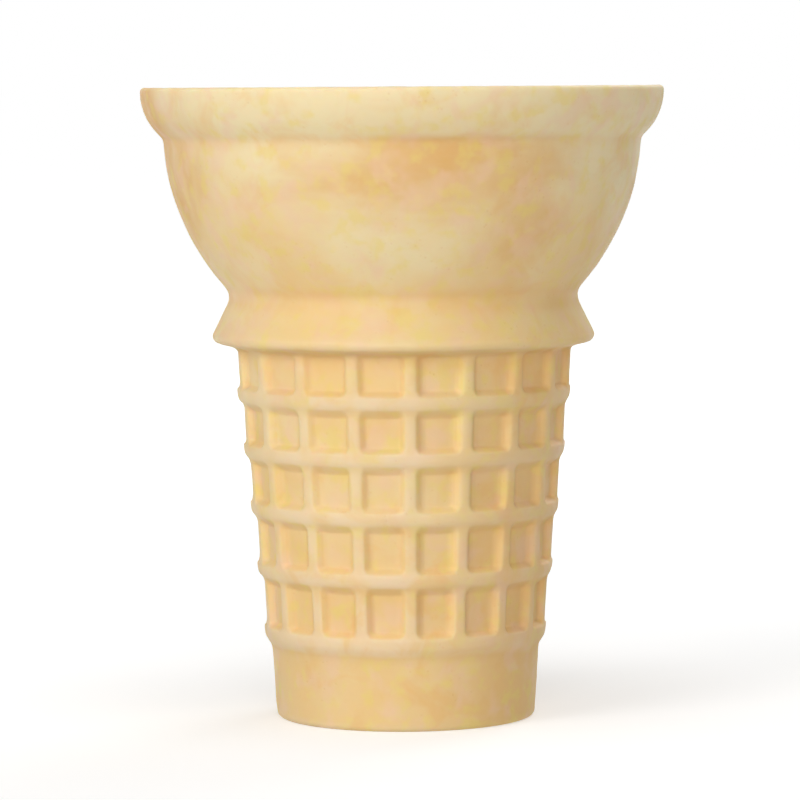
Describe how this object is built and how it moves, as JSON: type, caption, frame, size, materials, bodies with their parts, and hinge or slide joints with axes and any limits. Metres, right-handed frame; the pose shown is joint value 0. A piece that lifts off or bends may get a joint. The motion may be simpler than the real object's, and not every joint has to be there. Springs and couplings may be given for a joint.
{
  "type": "wafer cup",
  "caption": "Baked wafer ice-cream cup with a flat foot, a waffle-patterned tapered wall, a collar and a round bowl with a thick rim band.",
  "frame": {"origin": "centre of the plane that the foot stands on", "axes": "+Z along the cup's axis, from the foot up through the open mouth; -Y is the front, where one upright rib lies in the middle"},
  "size_m": [0.0738, 0.0738, 0.089],
  "materials": {
    "baked_wafer": "matte"
  },
  "bodies": {
    "root": {"wafer_cup": "baked_wafer"}
  },
  "joints": []
}
